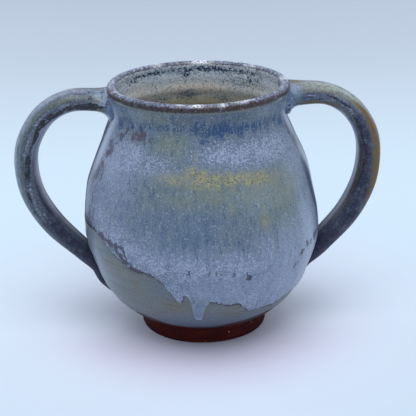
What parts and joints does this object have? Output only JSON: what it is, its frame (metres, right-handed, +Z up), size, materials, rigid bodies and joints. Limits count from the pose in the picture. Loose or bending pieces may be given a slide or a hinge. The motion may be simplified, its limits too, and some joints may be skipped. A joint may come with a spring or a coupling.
{
  "type": "two-handled washing cup",
  "caption": "Wheel-thrown stoneware cup for ritual hand washing, with a round belly, wide neck, pulled handle on each side, bare clay foot ring and dripping overlay glaze.",
  "frame": {"origin": "centre of the foot ring's resting plane", "axes": "+Z up along the throwing axis; +X through the right handle; seen from -Y"},
  "size_m": [0.1946, 0.1286, 0.135],
  "materials": {
    "base_glaze": "satin grey-green stoneware glaze, sandy cream inside, breaking to brown on the lip",
    "bare_clay": "unglazed dark chocolate-brown stoneware with fine pale specks",
    "handle_glaze": "glossy slate blue running to grey-green and ochre on the back, with dark purple-brown streaks",
    "pooled_glaze": "thick pooled light-blue glaze",
    "overlay_glaze": "mottled blue-grey and lavender glaze with an ochre band and crystals, glossy"
  },
  "bodies": {
    "root": {"thrown_body": "base_glaze", "foot_ring": "bare_clay", "right_handle": "handle_glaze", "left_handle": "handle_glaze", "right_luting_coil": "pooled_glaze", "left_luting_coil": "pooled_glaze", "overlay_glaze": "overlay_glaze"}
  },
  "joints": []
}
